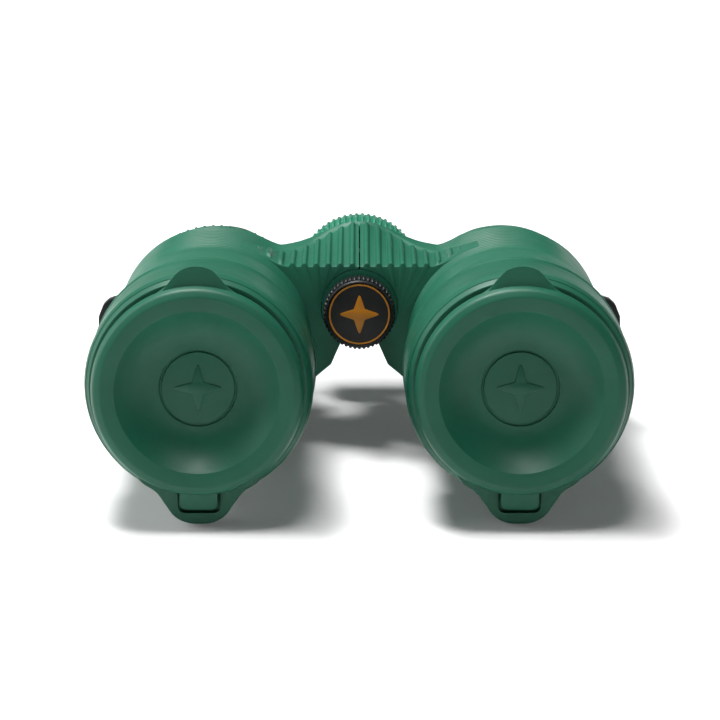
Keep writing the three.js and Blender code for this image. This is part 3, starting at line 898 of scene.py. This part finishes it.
eyepiece = {
    "housing": [(19.0, 93.9, 0.5), (19.0, 106.6, 0.8), (15.9, 106.6, 0.2), (15.9, 93.9, 0.2)],
    "tube": [(12.6, 93, 0.1), (12.6, 131, 0.4), (9.6, 131, 0.3), (9.6, 129.8, 0.1), (11.4, 129.8, 0.1),
             (11.4, 93, 0.1)],
    "cup": [(17.2, 107, 0.4), (17.2, 133.6, 1.2), (16.8, 136.2, 1.0), (15.6, 137, 0.6), (13.9, 137, 0.6),
            (12.9, 135.6, 0.8), (12.4, 134.3, 0.2), (16.1, 134.3, 0.1), (16.1, 107, 0.1)],
    "eyeLens": [(0, 129.4), (4, 129.15), (8, 128.4), (11, 127.4, 0.1), (11, 124.6, 0.1),
                (7, 123.5), (0, 122.8)],
}
objective = {
    "crown": [(0, 4.8), (5, 4.95), (10.5, 5.35), (16, 6.1), (21, 7.0, 0.1), (21, 8.3, 0.1),
              (10.5, 9.9), (0, 10.4)],
    "bezel": [(23.4, -0.4, 0.2), (23.4, 1.7, 0.1), (20.7, 1.7, 0.2), (20.7, 0.9, 0.3), (22.4, -0.4, 0.3)],
    "lockRing": [(21.0, 4.4, 0.1), (21.0, 6.5, 0.1), (20.2, 6.5, 0.1), (20.2, 4.9, 0.2),
                 (20.6, 4.4, 0.1)],
}
strapLug = {
    "outline": [(61.0, 8.5, 0.3), (63.8, 7.65, 1.5), (65.2, 6.4, 1.5), (66.4, 3.4, 2.0), (66.4, -3.4, 2.0),
                (65.2, -6.4, 1.5), (63.8, -7.65, 1.5), (61.0, -8.5, 0.3), (61.5, -6.8, 0.3),
                (63.2, -6.2, 1.0), (64.6, -3.4, 2.0), (64.6, 3.4, 2.0), (63.2, 6.2, 1.0), (61.5, 6.8, 0.3)],
    "front": 70.0, "rear": 75.0,
}
# each row: name, softened section, sides round, material, body, node it replaces
roundPieces = [
    ("eyepieceSkin", softened(eyepiece["housing"], 0.3), 144, greenArmour, "{}_half", "eyepiece_housing_{}"),
    ("eyepieceTube", softened(eyepiece["tube"], 0.2), 128, blackAbs, "{}_half", "eyepiece_tube_{}"),
    ("eyecupSkin", softened(eyepiece["cup"], 0.3, 5), 144, blackRubber, "eyecup_{}", "eyecup_rubber_{}"),
    ("eyeLens", softened(eyepiece["eyeLens"], 3, 4, closed=False), 96, coatedGlass,
     "{}_half", "eye_lens_{}"),
    ("frontLens", softened(objective["crown"], 4, 4, closed=False), 128, coatedGlass,
     "{}_half", "objective_crown_lens_{}"),
    ("frontBezel", softened(objective["bezel"], 0.2), 144, blackAbs,
     "{}_half", "objective_bezel_{}"),
    ("lockRing", softened(objective["lockRing"], 0.1), 144, blackCasting,
     "{}_half", "objective_lock_ring_{}"),
]
for name, side in sides.items():
    for label, section, turns, material, body, node in roundPieces:
        piece = meshOf(f"{label}_{name}", *spun(section, turns), place=(side * halfSpan, 0))
        dress(piece, material, body.format(name), node.format(name))
    outline = [(side * x, z) for x, z in softened(strapLug["outline"], 0.5, 5)]
    lug = meshOf(f"strapLoop_{name}", *slab(outline, strapLug["front"], strapLug["rear"], 0.35))
    dress(lug, blackAbs, f"{name}_half", f"strap_lug_{name}")
print("eyepieces, lenses and lugs made")

# CAD nodes that keep their own mesh: inner pieces, dressed by their slot
replaced = set()
for piece in bpy.data.objects:
    replaced.update(piece.get("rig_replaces", []))
for nodeName, node in frame["nodes"].items():
    if nodeName not in replaced:
        node.data.materials.clear()
        node.data.materials.append(slotMaterials[slotOf[nodeName]])

studio = {
    "tilt": 5.1,
    "camera": {"distance": 640.0, "elevation": 11.9, "pitch": 11.35, "focal": 2783.0, "width": 720,
               "shift": 0.15},
    "floor": "#e2e2e2", "floorDark": 0.96, "floorGlow": 0.08, "fibreScale": 400.0,
    "corners": [(-2, -2), (2, -2), (2, 1.6), (-2, 1.6)], "floorBelow": 0.0003, "loopRear": 4.0,
    "worldUp": 0.06, "worldDown": 0.3, "wallTop": (0.04, 0.2),
    "lamps": {
        "key": {"place": (-0.24, 0.1, 1.0), "aim": (0, 0, 0), "size": (0.4, 0.25), "power": 8,
                "spread": 180},
        "top": {"place": (-0.14, -0.14, 1.0), "aim": (0, 0, 0), "size": (0.6, 0.2), "power": 12,
                "spread": 180},
        "left": {"place": (-0.8, -0.02, 0.42), "aim": (0, 0, 0.03), "size": (0.5, 0.6), "power": 5,
                 "spread": 180},
        "rear floor": {"place": (0, 1.0, 0.9), "aim": (0, 1.0, 0), "size": (2.4, 0.9), "power": 26,
                       "spread": 60},
        "front floor": {"place": (0, -1.1, 0.9), "aim": (0, -1.1, 0), "size": (2.4, 0.9),
                        "power": 12, "spread": 60},
    },
}
# opal acrylic light table, matt on top and faintly lit from below
floorMaterial, floorTree, floorShader, floorPlace = startMaterial("opal acrylic floor", 0.9)
floorShader.inputs["Emission Color"].default_value = (1, 1, 1, 1)
floorShader.inputs["Emission Strength"].default_value = studio["floorGlow"]
fibre = grow(floorTree, "ShaderNodeTexNoise", {"Vector": floorPlace, "Scale": studio["fibreScale"]})
colourRamp(floorTree, floorShader, fibre.outputs["Fac"],
           dimmed(studio["floor"], studio["floorDark"]), linear(studio["floor"]))
# the tether loops and the eyecups touch the floor, so it rises towards the eyepieces
tilt = math.radians(studio["tilt"])
loopRear = (studio["loopRear"] + frontEdge) * mm
floorMesh = bpy.data.meshes.new("floor")
floorMesh.from_pydata([
    (x, loopRear + y * math.cos(tilt), y * math.sin(tilt) - studio["floorBelow"])
    for x, y in studio["corners"]
], [], [(0, 1, 2, 3)])
floor = bpy.data.objects.new("floor", floorMesh)
bpy.context.scene.collection.objects.link(floor)
floorMesh.materials.append(floorMaterial)

view = studio["camera"]
lens = bpy.data.cameras.new("camera")
camera = bpy.data.objects.new("camera", lens)
bpy.context.scene.collection.objects.link(camera)
lens.sensor_width = 36
lens.lens = view["focal"] / view["width"] * lens.sensor_width
lens.clip_end = 100
elevation = math.radians(view["elevation"])
camera.location = (
    view["shift"] * mm,
    (frontEdge - view["distance"] * math.cos(elevation)) * mm,
    (axisHeight + view["distance"] * math.sin(elevation)) * mm,
)
camera.rotation_euler = (math.radians(90 - view["pitch"]), 0, 0)
bpy.context.scene.camera = camera


def softBox(name, place, aim, size, power, spread):
    light = bpy.data.lights.new(name, "AREA")
    light.shape = "RECTANGLE"
    light.size, light.size_y = size
    light.energy = power
    light.spread = math.radians(spread)
    lamp = bpy.data.objects.new(name, light)
    lamp.location = place
    lamp.rotation_euler = (Vector(aim) - Vector(place)).to_track_quat("-Z", "Y").to_euler()
    bpy.context.scene.collection.objects.link(lamp)


for name, lamp in studio["lamps"].items():
    softBox(f"{name} light", **lamp)
# a dim room, paler towards the floor
world = bpy.data.worlds.new("studio room")
world.use_nodes = True
room = world.node_tree
around = grow(room, "ShaderNodeTexCoord").outputs["Generated"]
toward = grow(room, "ShaderNodeSeparateXYZ", {"Vector": around})
wallLow, wallHigh = studio["wallTop"]
level = grow(room, "ShaderNodeMapRange", {
    "Value": toward.outputs["Z"], "From Min": wallLow, "From Max": wallHigh,
    "To Min": studio["worldDown"], "To Max": studio["worldUp"],
}, interpolation_type="SMOOTHSTEP")
background = room.nodes["Background"]
background.inputs["Color"].default_value = (1, 1, 1, 1)
room.links.new(level.outputs["Result"], background.inputs["Strength"])
bpy.context.scene.world = world
bpy.context.scene.view_settings.view_transform = "Standard"
print("floor, lights and camera set")
